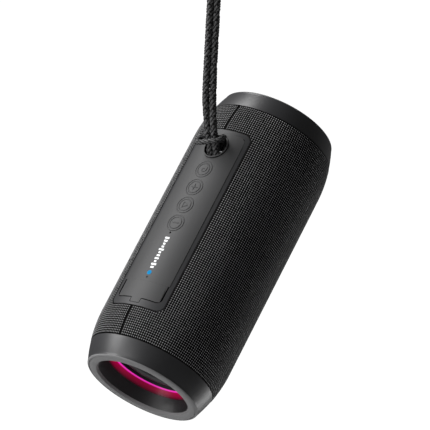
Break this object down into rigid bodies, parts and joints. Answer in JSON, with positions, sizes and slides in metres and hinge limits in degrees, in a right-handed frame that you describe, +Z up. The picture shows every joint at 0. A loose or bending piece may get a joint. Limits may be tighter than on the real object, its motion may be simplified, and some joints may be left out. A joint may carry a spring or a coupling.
{
  "type": "shower speaker",
  "caption": "Barrel-shaped portable shower speaker hung by a cord lanyard, with a soft control panel, port flap and lit end recesses.",
  "frame": {"origin": "where the lanyard's eye bears on its hook, at the inside of the top of the eye", "axes": "+Z up; the speaker hangs below the origin with its control panel towards -Y and its long axis leaning 38.8 degrees from upright in the YZ plane; +X along the lanyard bar"},
  "size_m": [0.082, 0.1692, 0.2873],
  "materials": {
    "woven_fabric": "black woven polyester mesh",
    "cap_plastic": "satin charcoal",
    "foot_rubber": "fine matt grain",
    "panel_silicone": "smooth satin silicone",
    "bezel_plastic": "smooth satin",
    "shell_plastic": "moulded black",
    "diffuser_plastic": "translucent, lit crimson",
    "cord_braid": "braided polyester cord",
    "crimp_plastic": "moulded",
    "steel": "plain",
    "circuit_board": "solder resist",
    "cell_wrap": "sleeved cell",
    "cone_paper": "pressed paper",
    "copper": "enamelled wire",
    "radiator_plate": "glossy",
    "seal_rubber": "moulded",
    "ferrite": "ground",
    "connector": "tinned",
    "light_pipe": "clear"
  },
  "bodies": {
    "lanyard": {"lanyard_strand_left": "cord_braid", "lanyard_strand_right": "cord_braid", "lanyard_crimp": "crimp_plastic"},
    "housing": {"grille_fabric": "woven_fabric", "baffle_shell": "shell_plastic", "panel_shell": "shell_plastic", "shell_gasket": "seal_rubber", "case_screws": "steel", "control_tray": "bezel_plastic", "control_panel": "panel_silicone", "tray_gasket": "seal_rubber", "control_board": "circuit_board", "tact_switches": "connector", "microphone": "connector", "charge_light": "light_pipe", "port_board": "circuit_board", "usb_c_port": "connector", "aux_jack": "shell_plastic", "microsd_socket": "connector", "main_board": "circuit_board", "battery_holder": "shell_plastic", "battery_cells": "cell_wrap", "lanyard_cup": "shell_plastic", "lanyard_bar": "steel", "lanyard_hitch": "cord_braid", "end_cap_top": "cap_plastic", "end_cap_bottom": "cap_plastic", "foot_ring_top": "foot_rubber", "foot_ring_bottom": "foot_rubber", "diffuser_top": "diffuser_plastic", "diffuser_bottom": "diffuser_plastic", "light_board_top": "circuit_board", "light_board_bottom": "circuit_board", "cap_seals": "seal_rubber", "radiator_frame_top": "shell_plastic", "radiator_frame_bottom": "shell_plastic", "frame_screws": "steel", "driver_screws": "steel", "driver_basket_upper": "shell_plastic", "driver_basket_lower": "shell_plastic", "driver_magnet_upper": "ferrite", "driver_magnet_lower": "ferrite", "driver_yoke_upper": "steel", "driver_yoke_lower": "steel", "speaker_guards": "shell_plastic"},
    "port_flap": {"port_flap": "panel_silicone"},
    "button_mode": {"button_mode": "panel_silicone"},
    "button_plus": {"button_plus": "panel_silicone"},
    "button_play": {"button_play": "panel_silicone"},
    "button_minus": {"button_minus": "panel_silicone"},
    "radiator_top": {"radiator_disc_top": "radiator_plate", "radiator_surround_top": "seal_rubber"},
    "radiator_bottom": {"radiator_disc_bottom": "radiator_plate", "radiator_surround_bottom": "seal_rubber"},
    "driver_upper": {"driver_cone_upper": "cone_paper", "driver_surround_upper": "seal_rubber", "voice_coil_upper": "copper"},
    "driver_lower": {"driver_cone_lower": "cone_paper", "driver_surround_lower": "seal_rubber", "voice_coil_lower": "copper"}
  },
  "joints": [
    {"name": "lanyard_swing", "type": "hinge", "parent": "lanyard", "child": "housing", "pos_m": [0, 0.0035, -0.116], "axis": [1, 0, 0], "range_deg": [-50, 30]},
    {"name": "flap_hinge", "type": "hinge", "parent": "housing", "child": "port_flap", "pos_m": [0, -0.04987, -0.19903], "axis": [-1, 0, 0], "range_deg": [0, 110], "stiffness_Nm_per_rad": 0.003, "springref_deg": -11.46},
    {"name": "press_mode", "type": "slide", "parent": "housing", "child": "button_mode", "axis": [0, 0.7793, -0.6266], "range_m": [0, 0.0004], "stiffness_N_per_m": 900, "springref_m": -0.0003},
    {"name": "press_plus", "type": "slide", "parent": "housing", "child": "button_plus", "axis": [0, 0.7793, -0.6266], "range_m": [0, 0.0004], "stiffness_N_per_m": 900, "springref_m": -0.0003},
    {"name": "press_play", "type": "slide", "parent": "housing", "child": "button_play", "axis": [0, 0.7793, -0.6266], "range_m": [0, 0.0004], "stiffness_N_per_m": 900, "springref_m": -0.0003},
    {"name": "press_minus", "type": "slide", "parent": "housing", "child": "button_minus", "axis": [0, 0.7793, -0.6266], "range_m": [0, 0.0004], "stiffness_N_per_m": 900, "springref_m": -0.0003},
    {"name": "radiator_top_stroke", "type": "slide", "parent": "housing", "child": "radiator_top", "axis": [0, 0.6266, 0.7793], "range_m": [-0.0025, 0.0025], "stiffness_N_per_m": 700},
    {"name": "radiator_bottom_stroke", "type": "slide", "parent": "housing", "child": "radiator_bottom", "axis": [0, -0.6266, -0.7793], "range_m": [-0.0025, 0.0025], "stiffness_N_per_m": 700},
    {"name": "driver_upper_stroke", "type": "slide", "parent": "housing", "child": "driver_upper", "axis": [0, 0.7793, -0.6266], "range_m": [-0.0015, 0.0015], "stiffness_N_per_m": 900},
    {"name": "driver_lower_stroke", "type": "slide", "parent": "housing", "child": "driver_lower", "axis": [0, 0.7793, -0.6266], "range_m": [-0.0015, 0.0015], "stiffness_N_per_m": 900}
  ]
}
